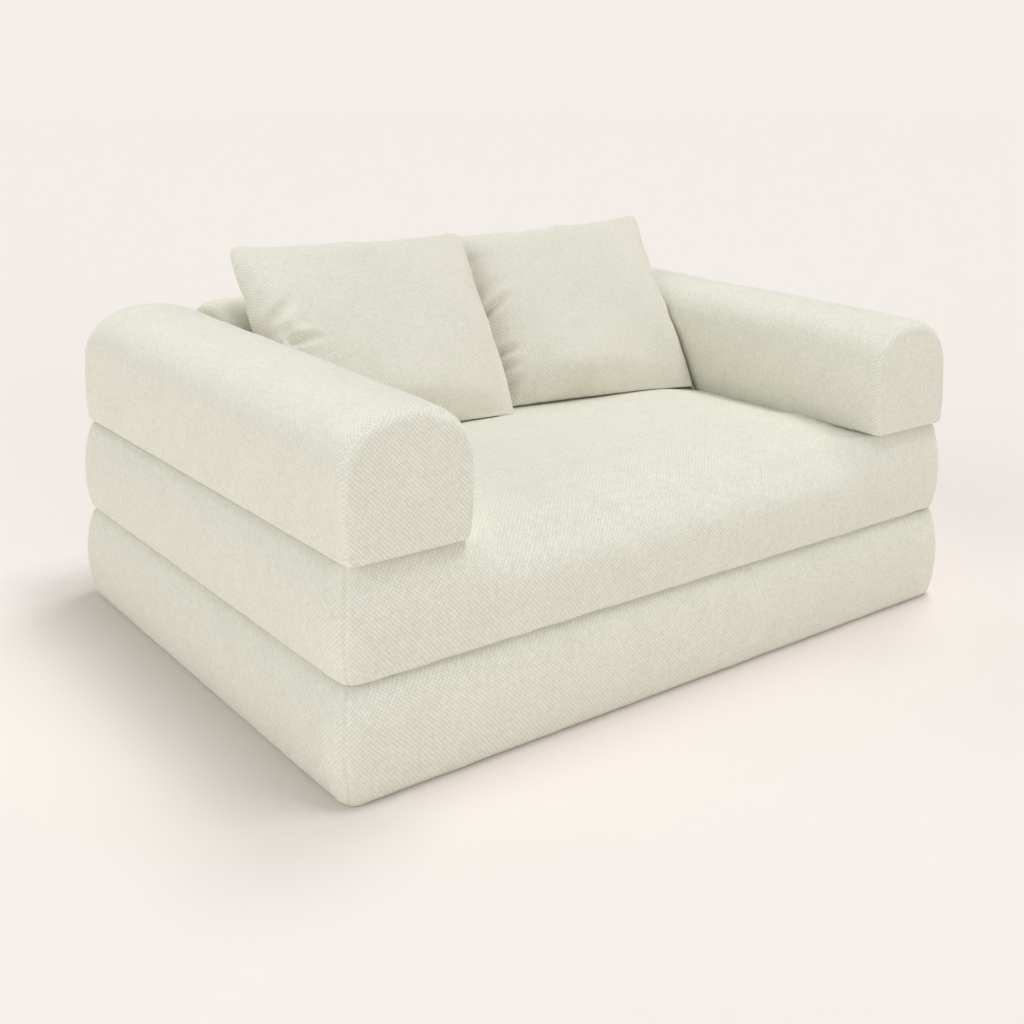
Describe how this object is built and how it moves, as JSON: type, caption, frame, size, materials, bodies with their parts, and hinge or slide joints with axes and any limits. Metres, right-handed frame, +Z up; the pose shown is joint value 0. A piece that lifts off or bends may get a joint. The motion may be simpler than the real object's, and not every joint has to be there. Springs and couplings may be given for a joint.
{
  "type": "modular sofa bed",
  "caption": "Low foam sofa bed: thick slabs folded one on the other under a fabric hinge, with loose padded arms, back bolster and square pillows in a nubby cream weave.",
  "frame": {"origin": "middle of the footprint, on the floor, with the sofa folded as a seat", "axes": "+X along the width, to the right as seen from the front; -Y to the front; +Z up"},
  "size_m": [1.3704, 1.0504, 0.6784],
  "materials": {
    "basket_weave": "nubby cream basket weave, matt",
    "foam": "open-cell polyurethane foam, pale",
    "fibre_insert": "white spun cover filled with fibre",
    "zip_tape": "woven tape with a nylon coil, cream",
    "zip_metal": "cream lacquered zinc",
    "hook_tape": "nylon hook tape, cream",
    "loop_tape": "brushed nylon loop tape, cream",
    "hinge_tape": "plain woven hinge tape, cream"
  },
  "bodies": {
    "base": {"base_cover": "basket_weave", "base_foam_core": "foam", "base_zip_tape": "zip_tape"},
    "seat": {"seat_cover": "basket_weave", "seat_foam_core": "foam", "seat_zip_tape": "zip_tape", "seat_loop_strips_left_arm": "loop_tape", "seat_loop_strips_right_arm": "loop_tape", "seat_loop_strips_back": "loop_tape", "fold_hinge_strip": "hinge_tape"},
    "left_arm": {"left_arm_cover": "basket_weave", "left_arm_foam_core": "foam", "left_arm_zip_tape": "zip_tape", "left_arm_hook_strips": "hook_tape"},
    "right_arm": {"right_arm_cover": "basket_weave", "right_arm_foam_core": "foam", "right_arm_zip_tape": "zip_tape", "right_arm_hook_strips": "hook_tape"},
    "back": {"back_cover": "basket_weave", "back_foam_core": "foam", "back_zip_tape": "zip_tape", "back_hook_strips": "hook_tape"},
    "left_pillow": {"left_pillow_cover": "basket_weave", "left_pillow_insert": "fibre_insert", "left_pillow_zip_tape": "zip_tape"},
    "right_pillow": {"right_pillow_cover": "basket_weave", "right_pillow_insert": "fibre_insert", "right_pillow_zip_tape": "zip_tape"},
    "base_zip_slider": {"base_zip_slider": "zip_metal"},
    "base_zip_pull": {"base_zip_pull": "zip_metal"},
    "seat_zip_slider": {"seat_zip_slider": "zip_metal"},
    "seat_zip_pull": {"seat_zip_pull": "zip_metal"},
    "left_arm_zip_slider": {"left_arm_zip_slider": "zip_metal"},
    "left_arm_zip_pull": {"left_arm_zip_pull": "zip_metal"},
    "right_arm_zip_slider": {"right_arm_zip_slider": "zip_metal"},
    "right_arm_zip_pull": {"right_arm_zip_pull": "zip_metal"},
    "back_zip_slider": {"back_zip_slider": "zip_metal"},
    "back_zip_pull": {"back_zip_pull": "zip_metal"},
    "left_pillow_zip_slider": {"left_pillow_zip_slider": "zip_metal"},
    "left_pillow_zip_pull": {"left_pillow_zip_pull": "zip_metal"},
    "right_pillow_zip_slider": {"right_pillow_zip_slider": "zip_metal"},
    "right_pillow_zip_pull": {"right_pillow_zip_pull": "zip_metal"}
  },
  "joints": [
    {"name": "base_fold", "type": "hinge", "parent": "seat", "child": "base", "pos_m": [0, -0.5255, 0.17515], "axis": [-1, 0, 0], "range_deg": [0, 180]},
    {"name": "left_arm_lift", "type": "slide", "parent": "seat", "child": "left_arm", "axis": [-0.8, 0, 0.6], "range_m": [0, 0.5]},
    {"name": "right_arm_lift", "type": "slide", "parent": "seat", "child": "right_arm", "axis": [0.8, 0, 0.6], "range_m": [0, 0.5]},
    {"name": "back_lift", "type": "slide", "parent": "seat", "child": "back", "axis": [0, 0.8, 0.6], "range_m": [0, 0.5]},
    {"name": "right_pillow_lift", "type": "slide", "parent": "seat", "child": "right_pillow", "axis": [0, -0.6, 0.8], "range_m": [0, 0.5]},
    {"name": "left_pillow_lift", "type": "slide", "parent": "right_pillow", "child": "left_pillow", "axis": [0, -0.6, 0.8], "range_m": [0, 0.5]},
    {"name": "base_zip_slide", "type": "slide", "parent": "base", "child": "base_zip_slider", "axis": [1, 0, 0], "range_m": [0, 0.9815]},
    {"name": "base_zip_pull_swing", "type": "hinge", "parent": "base_zip_slider", "child": "base_zip_pull", "pos_m": [-0.49075, 0.5211, 0.062], "axis": [0, 0, 1], "range_deg": [0, 155]},
    {"name": "seat_zip_slide", "type": "slide", "parent": "seat", "child": "seat_zip_slider", "axis": [1, 0, 0], "range_m": [0, 0.9815]},
    {"name": "seat_zip_pull_swing", "type": "hinge", "parent": "seat_zip_slider", "child": "seat_zip_pull", "pos_m": [-0.49075, 0.5211, 0.2373], "axis": [0, 0, 1], "range_deg": [0, 155]},
    {"name": "left_arm_zip_slide", "type": "slide", "parent": "left_arm", "child": "left_arm_zip_slider", "axis": [0, -1, 0], "range_m": [0, 0.7816]},
    {"name": "left_arm_zip_pull_swing", "type": "hinge", "parent": "left_arm_zip_slider", "child": "left_arm_zip_pull", "pos_m": [-0.569, 0.3908, 0.3545], "axis": [1, 0, 0], "range_deg": [0, 7]},
    {"name": "right_arm_zip_slide", "type": "slide", "parent": "right_arm", "child": "right_arm_zip_slider", "axis": [0, -1, 0], "range_m": [0, 0.7816]},
    {"name": "right_arm_zip_pull_swing", "type": "hinge", "parent": "right_arm_zip_slider", "child": "right_arm_zip_pull", "pos_m": [0.569, 0.3908, 0.3545], "axis": [1, 0, 0], "range_deg": [0, 7]},
    {"name": "back_zip_slide", "type": "slide", "parent": "back", "child": "back_zip_slider", "axis": [1, 0, 0], "range_m": [0, 0.6215]},
    {"name": "back_zip_pull_swing", "type": "hinge", "parent": "back_zip_slider", "child": "back_zip_pull", "pos_m": [-0.31076, 0.5091, 0.3806], "axis": [0, 0, 1], "range_deg": [0, 155]},
    {"name": "left_pillow_zip_slide", "type": "slide", "parent": "left_pillow", "child": "left_pillow_zip_slider", "axis": [-0.9863, 0.165, 0], "range_m": [0, 0.3215]},
    {"name": "left_pillow_zip_pull_swing", "type": "hinge", "parent": "left_pillow_zip_slider", "child": "left_pillow_zip_pull", "pos_m": [-0.05953, 0.01876, 0.35741], "axis": [-0.1264, -0.7555, 0.6428], "range_deg": [0, 15]},
    {"name": "right_pillow_zip_slide", "type": "slide", "parent": "right_pillow", "child": "right_pillow_zip_slider", "axis": [-0.9703, 0.2419, 0], "range_m": [0, 0.3215]},
    {"name": "right_pillow_zip_pull_swing", "type": "hinge", "parent": "right_pillow_zip_slider", "child": "right_pillow_zip_pull", "pos_m": [0.35634, 0.00146, 0.35741], "axis": [-0.1853, -0.7433, 0.6428], "range_deg": [0, 15]}
  ]
}
